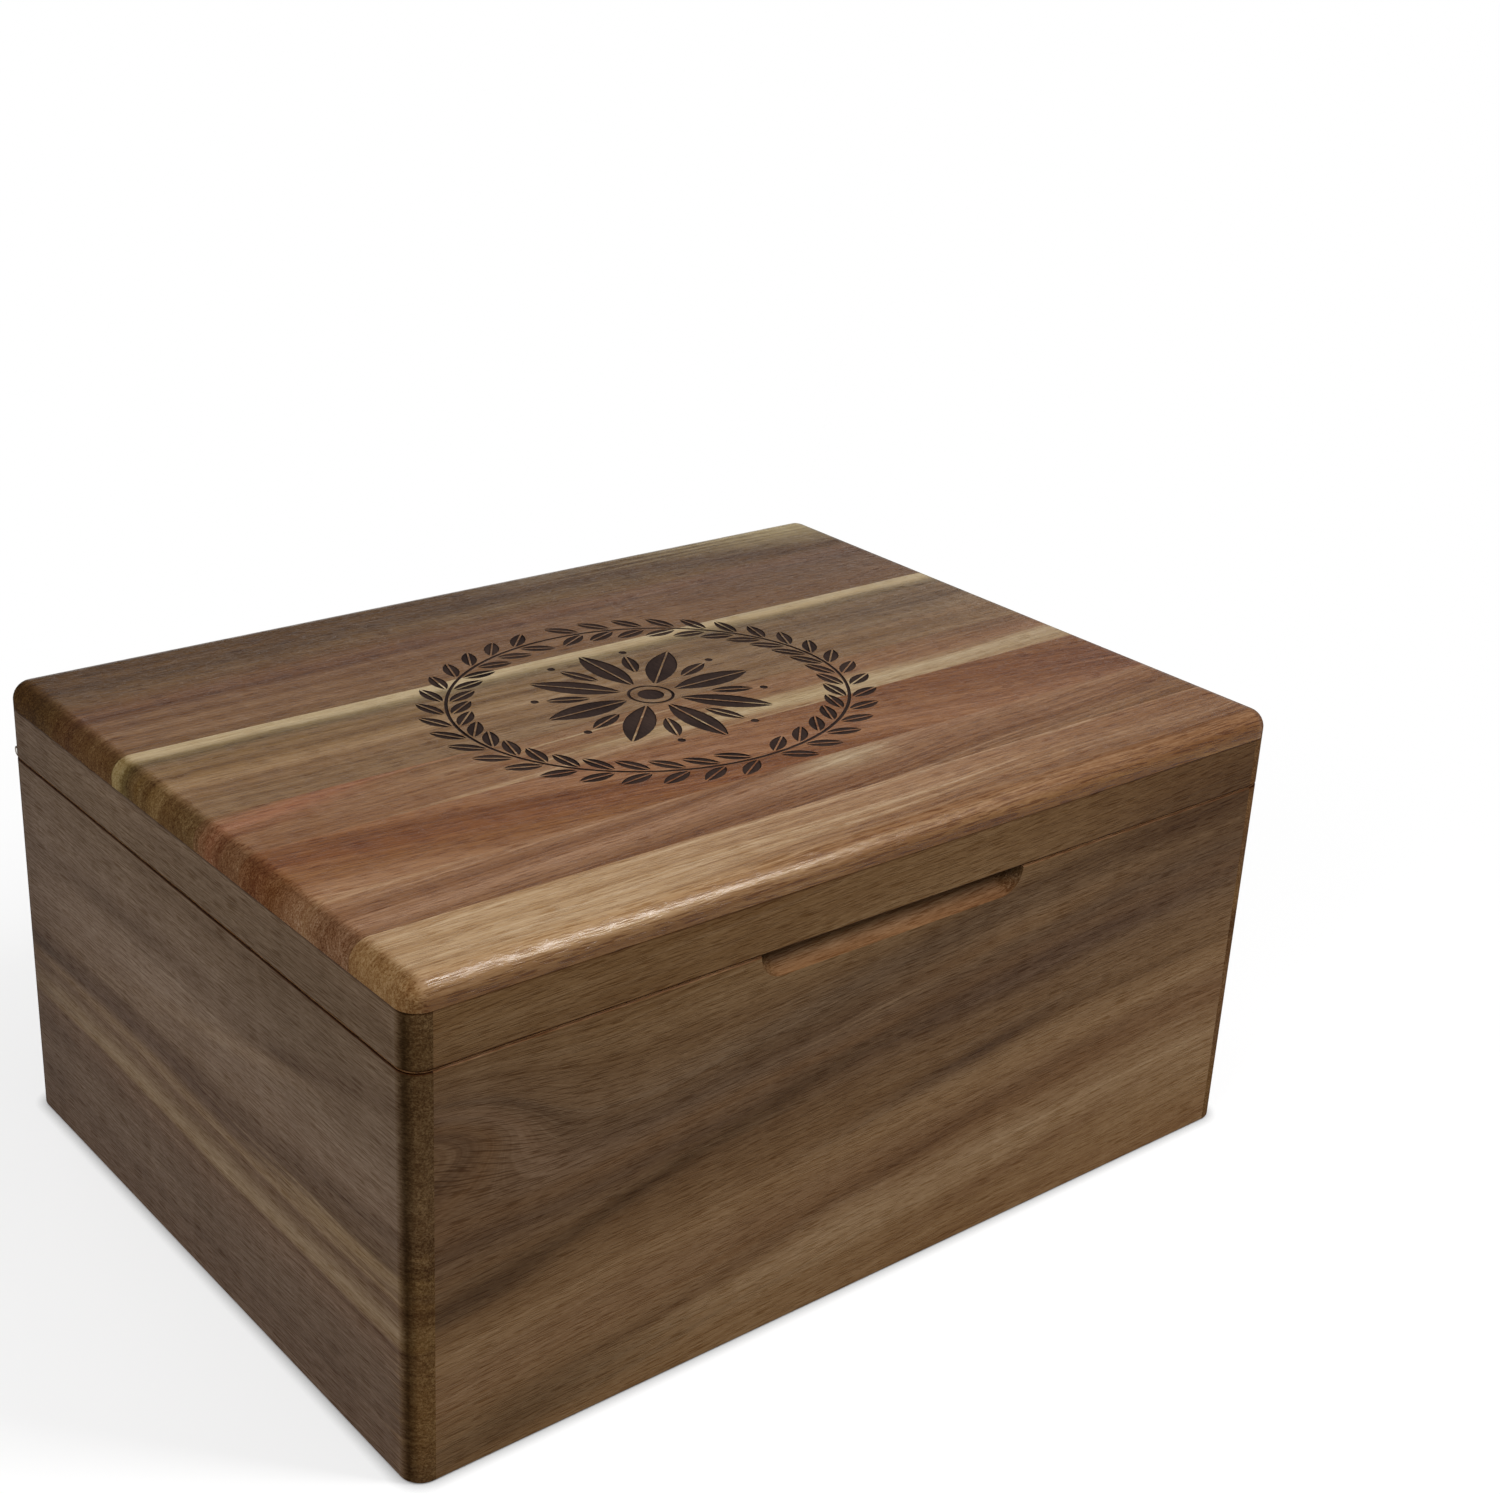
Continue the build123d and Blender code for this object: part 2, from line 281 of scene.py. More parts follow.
def burnt_acacia():
    """Acacia charred by a laser: a matt brown black, with the fine lines of its passes."""
    made, tree = empty_material("laser_burnt_acacia")
    place = add(tree, "ShaderNodeTexCoord", {}, {})
    sized = add(tree, "ShaderNodeMapping", {"vector_type": "TEXTURE"}, {
        "Vector": place.outputs["Object"], "Scale": LASER_PASS})
    passes = add(tree, "ShaderNodeTexNoise", {}, {
        "Vector": sized.outputs[0], "Scale": 1.0, "Detail": 1.0})
    cloudy = add(tree, "ShaderNodeTexNoise", {}, {
        "Vector": place.outputs["Object"], "Scale": 1 / CHAR_CLOUD, "Detail": 2.0})
    charred = add(tree, "ShaderNodeMath", {"operation": "MULTIPLY_ADD"},
                  {0: passes.outputs["Fac"], 1: PASS_SHARE, 2: cloudy.outputs["Fac"]})
    share = add(tree, "ShaderNodeMapRange", {}, {
        "Value": charred.outputs[0], 1: CHAR_RANGE[0], 2: CHAR_RANGE[1]})
    ramp = add(tree, "ShaderNodeValToRGB", {}, {"Fac": share.outputs[0]})
    ramp.color_ramp.elements[0].color = colour(CHAR_DARK)
    ramp.color_ramp.elements[1].color = colour(CHAR_LIGHT)
    bump = add(tree, "ShaderNodeBump", {}, {
        "Distance": PASS_GROOVE, "Height": passes.outputs["Fac"], "Strength": 1})
    shader = add(tree, "ShaderNodeBsdfPrincipled", {}, {
        "Base Color": ramp.outputs[0], "Roughness": 0.8, "Specular IOR Level": 0.1,
        "Normal": bump.outputs[0]})
    add(tree, "ShaderNodeOutputMaterial", {}, {"Surface": shader.outputs[0]})
    return made


STAIN_RISE = 0.02 * MM                 # how far a metal's stains stand proud
STAIN_RANGE = (0.38, 0.62)             # where their noise turns from dark to light


def metal(name, dark, light, patch, rough_dark, rough_light, stretch=(1, 1, 1)):
    """A metal whose colour and gloss drift between two states in patches of a size in mm."""
    made, tree = empty_material(name)
    place = add(tree, "ShaderNodeTexCoord", {}, {})
    sized = add(tree, "ShaderNodeMapping", {"vector_type": "TEXTURE"}, {
        "Vector": place.outputs["Object"], "Scale": [patch * MM * share for share in stretch]})
    stain = add(tree, "ShaderNodeTexNoise", {}, {
        "Vector": sized.outputs[0], "Scale": 1.0, "Detail": 5.0, "Roughness": 0.65})
    share = add(tree, "ShaderNodeMapRange", {}, {
        "Value": stain.outputs["Fac"], 1: STAIN_RANGE[0], 2: STAIN_RANGE[1]})
    ramp = add(tree, "ShaderNodeValToRGB", {}, {"Fac": share.outputs[0]})
    ramp.color_ramp.elements[0].color = colour(dark)
    ramp.color_ramp.elements[1].color = colour(light)
    rough = add(tree, "ShaderNodeMapRange", {}, {
        "Value": share.outputs[0], 3: rough_dark, 4: rough_light})
    bump = add(tree, "ShaderNodeBump", {}, {
        "Distance": STAIN_RISE, "Height": stain.outputs["Fac"], "Strength": 1})
    shader = add(tree, "ShaderNodeBsdfPrincipled", {}, {
        "Base Color": ramp.outputs[0], "Metallic": 1.0, "Roughness": rough.outputs[0],
        "Normal": bump.outputs[0]})
    add(tree, "ShaderNodeOutputMaterial", {}, {"Surface": shader.outputs[0]})
    return made


def dress(name, material):
    """A CAD node gets its material."""
    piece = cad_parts[name]
    piece.data.materials.clear()
    piece.data.materials.append(material)


# The tables below give each piece of wood in millimetres:
#   bands    (distance from the start, tone)
#   clouds   (tone, strength, place along, place across, reach along, reach across, turn)
#   edges    (tone, how squarely a surface faces across where it starts and is full, share)
#   figures  (place along, place across, reach along, reach across, how far it bends the bands)
#   dark lines (distance from the start, reach, darkness): glue lines, and painted shade in the gap
#       where the lid closes
# Places along the grain count from the middle of the box, and turns are in degrees.

# The lid's staves, measured from the back edge

GREY_ENDS = "#c2bea7"
LID_EDGES = [("#603a10", 0.85, 1, 0.85)]
LID_STAVES = [
    dict(ends=GREY_ENDS,
         bands=[
             (0, "#523819"), (14, "#54391e"), (22, "#573e25"), (29, "#5e4328"), (36, "#67492e")],
         clouds=[
             # The first cloud, pale cream at the back right corner of the top, is a painted sheen.
             ("#a8966f", 1.0, 164, 0, 76, 21, 0),
             ("#6f5c46", 0.7, 34, 8, 32, 5, 0),
             ("#4a3320", 0.7, 8, 18, 34, 5, 4),
             ("#4c3220", 0.8, 105, 26, 60, 6, 6)]),
    dict(ends=GREY_ENDS, wander=3,
         bands=[
             (34, "#66482d"), (42, "#684730"), (45, "#5a3b27"), (48, "#6c4c33"), (58, "#725237"),
             (68, "#6f4f34"), (75, "#725437")],
         clouds=[("#60452f", 0.8, 130, 53, 80, 17, 0)]),
    dict(ends=GREY_ENDS, wander=1.2,
         bands=[
             (74.5, "#b09b78"), (78, "#b09a76"), (81, "#867250"), (84, "#634e32"), (88, "#7b6043"),
             (90, "#6f522f"), (92, "#7f6344"), (95.5, "#66492b"), (98, "#806240"),
             (104, "#917454"), (107, "#76583a"), (110, "#7c5e40"), (114, "#715437"),
             (120, "#765a3e")],
         clouds=[
             ("#5e4731", 0.9, 118, 96, 105, 13, 0),
             ("#745c42", 0.8, 110, 104.5, 80, 1.6, 0)]),
    dict(slope=2, wander=3,
         bands=[
             (112, "#74573b"), (124, "#745538"), (132, "#7c583b"), (142, "#7c583c"),
             (154, "#886444")],
         clouds=[
             ("#60432a", 0.7, 145, 126, 55, 8, 0),
             ("#8d5b40", 0.78, -138, 131, 58, 3.8, -7),
             ("#693f26", 0.8, -152, 138, 26, 2.0, -6),
             ("#9f8862", 0.95, 40, 143, 60, 5, 2),
             ("#9c8565", 0.95, 135, 146, 85, 5, 0),
             ("#a38565", 0.9, -78, 149, 45, 1.6, -3)]),
    dict(slope=-8, wander=4, lines=0.25,
         bands=[
             (132, "#724b2d"), (142, "#693f22"), (154, "#7a5234"), (164, "#7c5438"),
             (170, "#855c3d"), (176.5, "#6c4326"), (184, "#74492c"), (192, "#79502f"),
             (200, "#8d6749"), (208, "#8a6445")],
         clouds=[("#62391f", 0.7, 152, 172, 42, 15, 0)]),
    dict(slope=4, wander=4, lines=0.26,
         bands=[
             (172, "#95714f"), (179, "#8e6a4d"), (184, "#7b573c"), (192, "#876348"),
             (197, "#7c593e"), (203, "#6f4b31"), (212, "#6e4d33"), (218, "#664529")],
         clouds=[("#a08a6c", 0.8, 18, 189, 16, 6, 0)]),
    dict(slope=1, wander=4, lines=0.24, ends="#d0c5b0",
         bands=[
             (205, "#8a694e"), (209, "#8a684c"), (213, "#805c40"), (222, "#805d40"),
             (236, "#77553a")],
         clouds=[
             # The first cloud, lighter tan along the left of the front stave, is partly the wood's
             # own tone and partly a painted sheen.
             ("#a28461", 1.0, -118, 221, 96, 32, 0),
             ("#5e3d22", 0.9, 175, 236, 110, 8, 0),
             ("#6a482f", 0.7, 165, 222, 60, 14, 0),
             ("#94765a", 0.9, 115, 208.5, 55, 0.9, 0)]),
]
for number, stave in enumerate(LID_STAVES, 1):
    dress(f"lid_stave_{number}", acacia(
        f"oiled_acacia_stave_{number}", grain="X", across="Y", depth="Z", start=back_y,
        inside=-1, edges=LID_EDGES, seed=number, gloss=0.18, rough=0.15, **stave))

# Boards and rails, measured down from the top. A rail is sawn from its board. The dark lines
# are the glue line under the lid's panel, and painted shade in the gap where the lid closes on the
# case.

BOARD_EDGES = [("#70492b", 0.3, 1, 0.6), ("#96704a", 0.95, 0.99, 0.75)]
# First a glue line under the lid's panel, then painted shade in the gap where the lid closes
LONG_GLUE_AND_GAP_SHADE = [(8.6, 0.35, 0.4), (24.9, 0.33, 1.6)]
SIDE_GLUE_AND_GAP_SHADE = [(8.6, 0.35, 0.4), (25, 0.42, 2)]
BOARDS = {
    "front": dict(
        grain="X", depth="Y", inside=1, slope=5, lines=0.14, pores=0.18, glue_lines_and_gap_shade=LONG_GLUE_AND_GAP_SHADE,
        figures=[(-164, 47, 40, 17, 45)],
        bands=[
            (0, "#654a2d"), (24, "#684e32"), (50, "#634b34"), (58, "#574230"), (64, "#684e36"),
            (70, "#553f2c"), (77, "#634a32"), (86, "#674d33"), (101, "#7a5e41"),
            (107, "#72563b"), (114, "#6c4f34"), (128, "#806446"), (146, "#795c3d"),
            (160, "#725334")],
        clouds=[
            ("#503a28", 0.5, -150, 48, 60, 30, 0),
            ("#4a3727", 0.7, -130, 60, 32, 3.2, 0),
            ("#6c523c", 0.5, -130, 68, 32, 3.2, 0),
            ("#452912", 0.8, 160, 17, 80, 10, 0),
            ("#49321b", 0.85, 165, 26, 46, 22, 0),
            ("#4e3a28", 0.9, 5, 45, 80, 7, -9),
            ("#432d1a", 0.95, 125, 31, 55, 7, -4),
            ("#72573c", 0.85, 52, 49, 55, 3.6, -6),
            ("#4f3a2a", 0.9, 78, 60, 80, 4, -6),
            ("#4b3622", 0.95, -75, 83, 85, 3.4, -12),
            ("#473321", 0.9, -142, 98, 26, 4.5, -6),
            ("#4f3b2b", 0.85, 40, 86, 42, 3.6, -8),
            ("#5b422a", 0.7, 112, 81, 60, 2.5, -4),
            ("#5d422a", 0.8, -10, 118, 105, 2.8, -10),
            ("#6a4c30", 0.75, 62, 133, 60, 2.5, -10),
            ("#533c25", 0.85, -125, 142, 48, 8, -8)]),
    "back": dict(
        grain="X", depth="Y", inside=-1, slope=-3, lines=0.14, pores=0.18, glue_lines_and_gap_shade=LONG_GLUE_AND_GAP_SHADE,
        figures=[(70, 90, 70, 30, 26)],
        bands=[
            (0, "#64472c"), (30, "#705336"), (48, "#5e452d"), (66, "#76593b"), (84, "#694e33"),
            (96, "#533d27"), (104, "#6d5236"), (130, "#775b3b"), (160, "#64492d")]),
    "left": dict(
        grain="Y", depth="X", inside=1, wander=4, lines=0.13, pores=0.16, glue_lines_and_gap_shade=SIDE_GLUE_AND_GAP_SHADE,
        ends="#ded0b0", corners="#8f8a80",
        bands=[
            (0, "#5a4634"), (20, "#5c4936"), (46, "#655241"), (72, "#665241"), (79, "#5f4b39"),
            (82, "#4c3828"), (87, "#4e3a2c"), (89.5, "#5c4838"), (92, "#705a43"),
            (95, "#5c4633"), (102, "#79644c"), (105, "#725c43"), (107, "#553f2e"),
            (115, "#544030"), (124, "#5b4838"), (150, "#544031")],
        clouds=[
            ("#493627", 0.7, 120, 70, 30, 90, 0),
            ("#51402f", 0.55, -72, 42, 50, 22, 0),
            ("#3a2817", 0.85, 108, 86.5, 26, 2.2, 0),
            ("#7b654a", 0.95, -88, 88, 44, 3.6, 3),
            ("#4d3a2a", 0.95, -60, 49, 50, 4.2, 16),
            ("#6e5945", 0.8, -20, 62, 50, 3, 12),
            ("#4b3829", 0.9, -75, 78, 62, 2.8, 3),
            ("#4e3b2b", 0.7, 40, 50, 60, 5, 3),
            ("#7a6146", 0.8, -118, 128, 5, 26, 0)]),
    "right": dict(
        grain="Y", depth="X", inside=-1, slope=2, lines=0.16, pores=0.18, glue_lines_and_gap_shade=SIDE_GLUE_AND_GAP_SHADE,
        ends="#efe6d2",
        bands=[
            (0, "#5f4630"), (28, "#6a4e35"), (46, "#5a412d"), (60, "#71563a"), (68, "#523a27"),
            (90, "#684c34"), (118, "#5d432e"), (132, "#71563a"), (160, "#624832")]),
}
for seed, (side, board) in enumerate(BOARDS.items(), 21):
    wood = acacia(
        f"oiled_acacia_{side}", across="Z", start=box_top, edges=BOARD_EDGES, seed=seed, **board)
    dress(f"case_{side}_board", wood)
    dress(f"lid_{side}_rail", wood)
    if side in ("left", "right"):
        dress(f"lid_hinge_infill_{side}", wood)

# Floor staves, measured from the back edge of the lid, warmer and plainer than the lid's

FLOOR_EDGES = [("#85592f", 0.3, 1, 0.6)]
FLOOR_BANDS = [
    [(0, "#9a6f4c"), (14, "#8a5f42"), (30, "#a57c56"), (44, "#93694a"), (60, "#8a6247")],
    [(50, "#8c5f45"), (72, "#9d7350"), (84, "#835a42"), (100, "#a17a55"), (120, "#936a4b")],
    [(110, "#a68059"), (124, "#8e664a"), (140, "#7f5840"), (156, "#9c7250"), (172, "#a77f5a")],
    [(165, "#8f6749"), (184, "#85593f"), (200, "#a0784f"), (214, "#8a6045"), (235, "#9a7050")],
]
for number, bands in enumerate(FLOOR_BANDS, 1):
    dress(f"floor_stave_{number}", acacia(
        f"oiled_acacia_floor_{number}", grain="X", across="Y", depth="Z", start=back_y,
        inside=1, bands=bands, edges=FLOOR_EDGES, seed=40 + number))

# Hardware

# Brass leaves plated a dark bronze: deep brown, yellower and brighter where it has worn
bronze = metal(
    "aged_bronze", "#2c2118", "#6e5330", patch=5, rough_dark=0.55, rough_light=0.38)

# Steel screws plated to match: near black, with small rubbed spots on the heads
browned_steel = metal(
    "browned_steel", "#231d18", "#4a3d2f", patch=2, rough_dark=0.5, rough_light=0.35)

# Steel pins, ground round and left bright: pale, with faint rings round them
pin_steel = metal(
    "ground_steel", "#a09c94", "#cfccc4", patch=1.2, rough_dark=0.3, rough_light=0.2,
    stretch=(0.2, 1, 1))

# Magnets plated with nickel: a warm pale grey, dulled by handling
nickel = metal(
    "nickel_plate", "#85817a", "#aba79e", patch=1.5, rough_dark=0.42, rough_light=0.3)

for side in ("left", "right"):
    dress(f"hinge_case_leaf_{side}", bronze)
    dress(f"hinge_lid_leaf_{side}", bronze)
    dress(f"hinge_case_screws_{side}", browned_steel)
    dress(f"hinge_lid_screws_{side}", browned_steel)
    dress(f"hinge_pin_{side}", pin_steel)
    dress(f"case_magnet_{side}", nickel)
    dress(f"lid_magnet_{side}", nickel)


# The ornament: a leaf wreath round a rosette, engraved in the middle staves

ENGRAVED_STAVES = (2, 3, 4, 5)
ENGRAVED_DEPTH = 0.35 * MM
CUTTER_RISE = 1 * MM                   # how far the cutters stand out of the lid
VEIN = 0.6 * MM                        # left standing between the halves of a leaf

WREATH = (66 * MM, 57 * MM)            # half axes of the wreath's stem
STEM = 1.1 * MM
LEAF = (12.5 * MM, 2.5 * MM)           # length, and breadth of one half
LEAF_PAIRS = 18                        # on each side of the wreath
LEAF_SPREAD = radians(36)              # from the stem to a leaf
FIRST_LEAF = 0.35                      # from the wreath's bottom, in steps from pair to pair
LAST_LEAF = 0.5                        # what is left at its top, in the same steps

PETALS = 8                             # of each length
LONG_PETAL = (30 * MM, 5 * MM)         # length, and breadth of one half
LONG_STALK = 9 * MM                    # from the rosette's centre
SHORT_PETAL = (15 * MM, 2.6 * MM)
SHORT_STALK = 19 * MM
DOT = 1.3 * MM
DOT_CENTRE = 37 * MM
BUTTON = 4.2 * MM
BUTTON_RING = (7 * MM, 7 * MM)
RING_BREADTH = 1.0 * MM

LEAF_POINTS = 44                       # corners of the circle that a leaf is cut from
DISC_POINTS = 28
RING_POINTS = 144
WELD = 0.001 * MM
SMOOTH_UP_TO = radians(30)


def edit_all():
    """Edit mode with everything selected."""
    bpy.ops.object.mode_set(mode="EDIT")
    bpy.ops.mesh.select_all(action="SELECT")


def raise_cutter(name):
    """The flat outline in edit mode becomes a solid that reaches down into the lid."""
    bpy.ops.mesh.select_all(action="SELECT")
    bpy.ops.mesh.extrude_region_move(
        TRANSFORM_OT_translate={"value": (0, 0, ENGRAVED_DEPTH + CUTTER_RISE)})
    bpy.ops.mesh.select_all(action="SELECT")
    bpy.ops.mesh.normals_make_consistent(inside=False)
    bpy.ops.object.mode_set(mode="OBJECT")
    made = bpy.context.object
    made.name = name
    bpy.ops.object.transform_apply(location=True, rotation=True, scale=True)
    return made


def leaf_half(name, length, breadth):
    """Half a pointed leaf along +X from its stalk at the origin: a disc cut off beyond a chord."""
    radius = (length ** 2 / 4 + breadth ** 2) / (2 * breadth)
    bpy.ops.object.select_all(action="DESELECT")
    bpy.ops.mesh.primitive_circle_add(
        vertices=LEAF_POINTS, radius=radius, fill_type="NGON",
        location=(length / 2, breadth - radius, 0))
    edit_all()
    bpy.ops.mesh.bisect(
        plane_co=(0, VEIN / 2, 0), plane_no=(0, 1, 0), clear_inner=True, use_fill=False)
    return raise_cutter(name)


def disc(name, radius):
    """A round dot."""
    bpy.ops.object.select_all(action="DESELECT")
    bpy.ops.mesh.primitive_circle_add(vertices=DISC_POINTS, radius=radius, fill_type="NGON")
    edit_all()
    return raise_cutter(name)


def ring(name, half_axes, breadth):
    """A narrow oval band, centred on the lid."""
    bpy.ops.object.select_all(action="DESELECT")
    bpy.ops.mesh.primitive_circle_add(vertices=RING_POINTS, radius=1, fill_type="NGON")
    edit_all()
    bpy.ops.transform.resize(value=(half_axes[0] + breadth / 2, half_axes[1] + breadth / 2, 1))
    bpy.ops.mesh.inset(thickness=breadth, depth=0)
    bpy.ops.mesh.delete(type="FACE")
    made = raise_cutter(name)
    made.data.transform(Matrix.Translation((0, middle_y, box_top - ENGRAVED_DEPTH)))
    return made


def placed_copy(cutter, x, y, angle, flip=False):
    """A copy of a cutter, turned about its stalk and set down on the lid."""
    twin = bpy.data.objects.new(cutter.name, cutter.data.copy())
    bpy.context.collection.objects.link(twin)
    turn = Matrix.Rotation(angle, 4, "Z")
    if flip:
        turn = turn @ Matrix.Scale(-1, 4, (0, 1, 0))
    twin.data.transform(Matrix.Translation((x, middle_y + y, box_top - ENGRAVED_DEPTH)) @ turn)
    if flip:
        twin.data.flip_normals()
    return twin


def whole_leaf(half, x, y, angle):
    """Both halves of a leaf."""
    return [placed_copy(half, x, y, angle), placed_copy(half, x, y, angle, flip=True)]


def wreath():
    """Two garlands that rise from the bottom of the oval and meet at its top."""
    leaf = leaf_half("wreath_leaf", *LEAF)
    made = [ring("wreath_stem", WREATH, STEM)]
    for pair in range(LEAF_PAIRS):
        turn = -pi / 2 + pi * (pair + FIRST_LEAF) / (LEAF_PAIRS + LAST_LEAF)
        x = WREATH[0] * cos(turn)
        y = WREATH[1] * sin(turn)
        heading = atan2(WREATH[1] * cos(turn), -WREATH[0] * sin(turn))
        for side in (1, -1):
            angle = heading + side * LEAF_SPREAD
            outward = heading + side * pi / 2
            leaf_x = x + STEM * cos(outward)
            leaf_y = y + STEM * sin(outward)
            made += whole_leaf(leaf, leaf_x, leaf_y, angle)
            made += whole_leaf(leaf, -leaf_x, leaf_y, pi - angle)
    bpy.data.objects.remove(leaf)
    return made


def rosette():
    """Long petals and short ones round a button, with a dot beyond each short one."""
    petal = leaf_half("long_petal", *LONG_PETAL)
    small = leaf_half("short_petal", *SHORT_PETAL)
    dot = disc("dot", DOT)
    button = disc("button", BUTTON)
    made = [placed_copy(button, 0, 0, 0), ring("button_ring", BUTTON_RING, RING_BREADTH)]
    for turn in range(PETALS):
        angle = turn * 2 * pi / PETALS
        made += whole_leaf(petal, LONG_STALK * cos(angle), LONG_STALK * sin(angle), angle)
        angle += pi / PETALS
        made += whole_leaf(small, SHORT_STALK * cos(angle), SHORT_STALK * sin(angle), angle)
        made.append(placed_copy(dot, DOT_CENTRE * cos(angle), DOT_CENTRE * sin(angle), 0))
    for sample in (petal, small, dot, button):
        bpy.data.objects.remove(sample)
    return made


def engrave(numbers):
    """The ornament cut into copies of the staves, which take the staves' places."""
    cutters = wreath() + rosette()
    bpy.ops.object.select_all(action="DESELECT")
    for cutter in cutters:
        cutter.select_set(True)
    bpy.context.view_layer.objects.active = cutters[0]
    bpy.ops.object.join()
    cutter = bpy.context.object
    cutter.data.materials.append(burnt_acacia())
    for number in numbers:
        name = f"lid_stave_{number}"
        piece = bpy.data.objects.new(f"engraved_stave_{number}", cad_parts[name].data.copy())
        bpy.context.collection.objects.link(piece)
        bpy.ops.object.select_all(action="DESELECT")
        piece.select_set(True)
        bpy.context.view_layer.objects.active = piece
        bpy.ops.mesh.customdata_custom_splitnormals_clear()
        edit_all()
        bpy.ops.mesh.remove_doubles(threshold=WELD)
        bpy.ops.object.mode_set(mode="OBJECT")
        cut = piece.modifiers.new("ornament", "BOOLEAN")
        cut.operation = "DIFFERENCE"
        cut.solver = "EXACT"
        cut.material_mode = "TRANSFER"
        cut.object = cutter
        bpy.ops.object.modifier_apply(modifier=cut.name)
        bpy.ops.object.shade_smooth_by_angle(angle=SMOOTH_UP_TO)
        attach(piece, "lid")
        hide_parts(name)
    bpy.data.objects.remove(cutter)


engrave(ENGRAVED_STAVES)


# Floor, light and camera

FLOOR_SIZE = 12
BOUNCE = "#8c8c8b"                     # what the paper throws back up at the box
SHADOW_CLEAR = (0.22, 0.5)             # how far from the middle the soft shadow starts to fade
SHADOW_LIFT = 0.74                     # and the share of pure white within that
FOOT_SHADOW = 4 * MM                   # the slim dark line along the box's foot
BOX_MIDDLE = (0, 0, 0.1)


def eye_rays(tree):
    """1 for what the camera sees directly, in a gloss or through glass, and 0 for plain light."""
    path = add(tree, "ShaderNodeLightPath", {}, {})
    seen = add(tree, "ShaderNodeMath", {"operation": "ADD"},
               {0: path.outputs["Is Camera Ray"], 1: path.outputs["Is Glossy Ray"]})
    return add(tree, "ShaderNodeMath", {"operation": "ADD", "use_clamp": True},
               {0: seen.outputs[0], 1: path.outputs["Is Transmission Ray"]}).outputs[0]


def paper_floor():
    """A floor of matt white paper.

    It is pure white to the camera, with the box's soft shadow kept and a painted contact
    shadow along its foot. To the box itself it is grey, so that little light comes back up
    from below.
    """
    bpy.ops.object.select_all(action="DESELECT")
    bpy.ops.mesh.primitive_plane_add(size=FLOOR_SIZE)
    floor = bpy.context.object
    floor.name = "paper_floor"
    made, tree = empty_material("white_background_paper")
    lit = add(tree, "ShaderNodeBsdfDiffuse", {}, {"Color": colour(BOUNCE)})
    white = add(tree, "ShaderNodeBsdfDiffuse", {}, {"Color": (1, 1, 1, 1)})
    # Painted contact shadow: ambient occlusion darkens the glow within FOOT_SHADOW of the box's
    # foot
    foot = add(tree, "ShaderNodeAmbientOcclusion", {"samples": 8}, {"Distance": FOOT_SHADOW})
    glow = add(tree, "ShaderNodeEmission", {}, {"Color": foot.outputs["Color"], "Strength": 1.0})
    place = add(tree, "ShaderNodeTexCoord", {}, {})
    distance = add(tree, "ShaderNodeVectorMath", {"operation": "LENGTH"}, {
        0: place.outputs["Object"]})
    share = add(tree, "ShaderNodeMapRange", {"interpolation_type": "SMOOTHSTEP"}, {
        "Value": distance.outputs["Value"], 1: SHADOW_CLEAR[0], 2: SHADOW_CLEAR[1],
        3: SHADOW_LIFT, 4: 1.0})
    paper = add(tree, "ShaderNodeMixShader", {}, {
        0: share.outputs[0], 1: white.outputs[0], 2: glow.outputs[0]})
    mix = add(tree, "ShaderNodeMixShader", {}, {
        0: eye_rays(tree), 1: lit.outputs[0], 2: paper.outputs[0]})
    add(tree, "ShaderNodeOutputMaterial", {}, {"Surface": mix.outputs[0]})
    floor.data.materials.append(made)


SKY_LIGHT = 0.1                        # strength of the sky's plain light on the box
HORIZON = (0.05, 0.22)                 # where the white behind the box falls off, going up
SKY_OVERHEAD = 0.15                    # what is left of it there, to eye and gloss


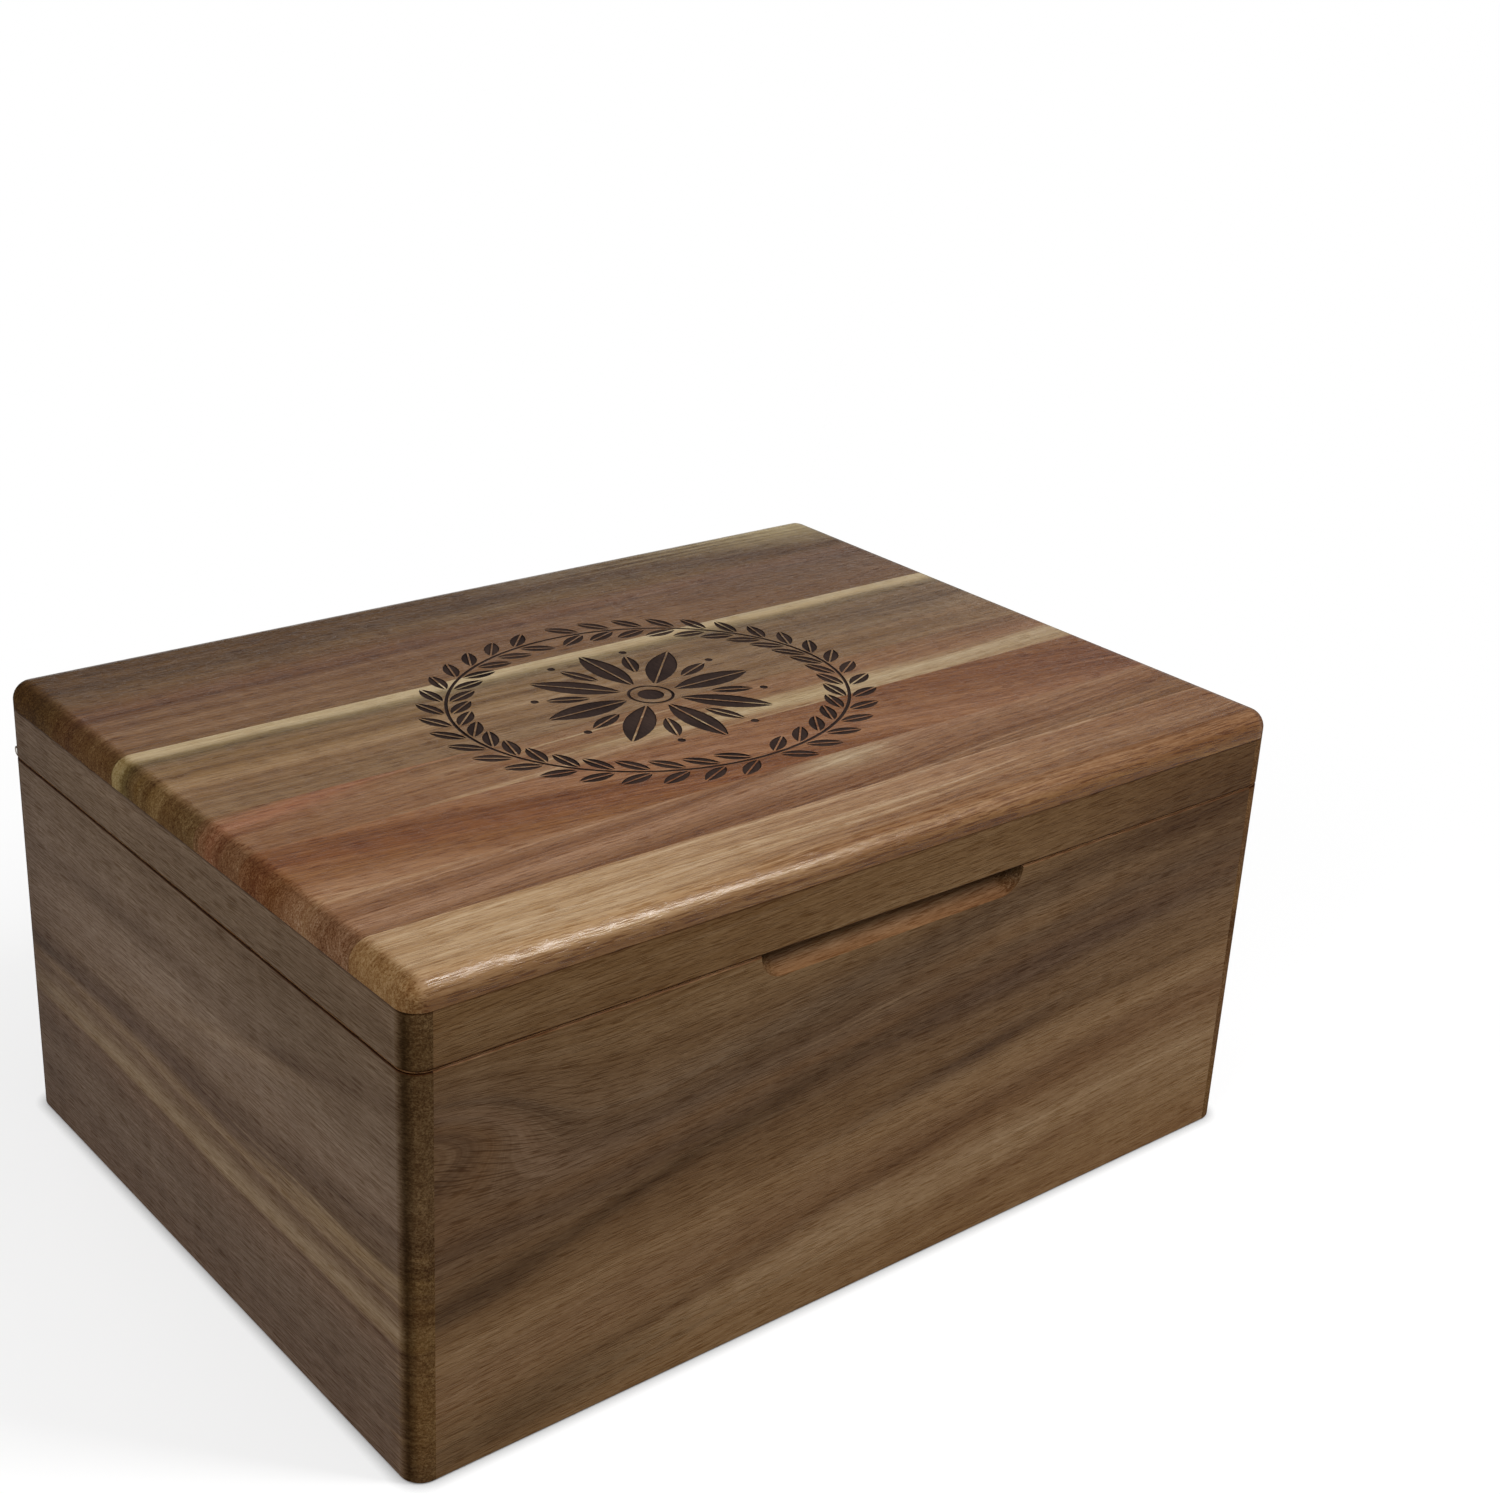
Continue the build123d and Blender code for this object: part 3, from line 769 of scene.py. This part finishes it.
def studio_sky():
    """An even white surround: plain light for the box, white to the eye and in reflections."""
    world = bpy.data.worlds.new("studio_sky")
    bpy.context.scene.world = world
    world.use_nodes = True
    tree = world.node_tree
    tree.nodes.clear()
    way = add(tree, "ShaderNodeTexCoord", {}, {})
    up = add(tree, "ShaderNodeSeparateXYZ", {}, {"Vector": way.outputs["Generated"]})
    seen = add(tree, "ShaderNodeMapRange", {"interpolation_type": "SMOOTHSTEP"}, {
        "Value": up.outputs["Z"], 1: HORIZON[0], 2: HORIZON[1], 3: 1.0, 4: SKY_OVERHEAD})
    strength = add(tree, "ShaderNodeMapRange", {}, {
        "Value": eye_rays(tree), 3: SKY_LIGHT, 4: seen.outputs[0]})
    sky = add(tree, "ShaderNodeBackground", {}, {
        "Color": (1, 1, 1, 1), "Strength": strength.outputs[0]})
    add(tree, "ShaderNodeOutputWorld", {}, {"Surface": sky.outputs[0]})


def softbox(name, place, size, power, reflected=True):
    """A lamp that faces the box. One that isn't reflected gives only plain light."""
    lamp = bpy.data.lights.new(name, "AREA")
    lamp.shape = "RECTANGLE"
    lamp.size, lamp.size_y = size
    lamp.energy = power
    holder = bpy.data.objects.new(name, lamp)
    bpy.context.collection.objects.link(holder)
    holder.location = place
    aim = Vector(BOX_MIDDLE) - Vector(place)
    holder.rotation_euler = aim.to_track_quat("-Z", "Y").to_euler()
    holder.visible_glossy = reflected


def camera():
    """The camera, at the photograph's viewing angle."""
    lens = bpy.data.cameras.new("camera")
    lens.sensor_width = 36
    lens.sensor_fit = "HORIZONTAL"
    lens.lens = 55.26
    holder = bpy.data.objects.new("camera", lens)
    bpy.context.collection.objects.link(holder)
    place = Vector((-0.4087, -0.5308, 0.4188))
    aim = Vector((0.0384, -0.0048, 0.1246))
    roll = radians(3.0)
    turn = (aim - place).to_track_quat("-Z", "Y") @ Quaternion((0, 0, 1), roll)
    holder.location = place
    holder.rotation_euler = turn.to_euler()
    bpy.context.scene.camera = holder


paper_floor()
studio_sky()
softbox("key", place=(0.525, -0.742, 1.03), size=(0.24, 0.6), power=15)
softbox("overhead", place=(0.1, -0.4, 1.45), size=(0.7, 0.7), power=3.2)
softbox("fill", place=(-1.5, -0.35, 0.75), size=(0.9, 0.9), power=17, reflected=False)
softbox("rear", place=(0, 1.9, 0.3), size=(0.8, 0.6), power=14, reflected=False)
camera()
bpy.context.scene.view_settings.view_transform = "Standard"
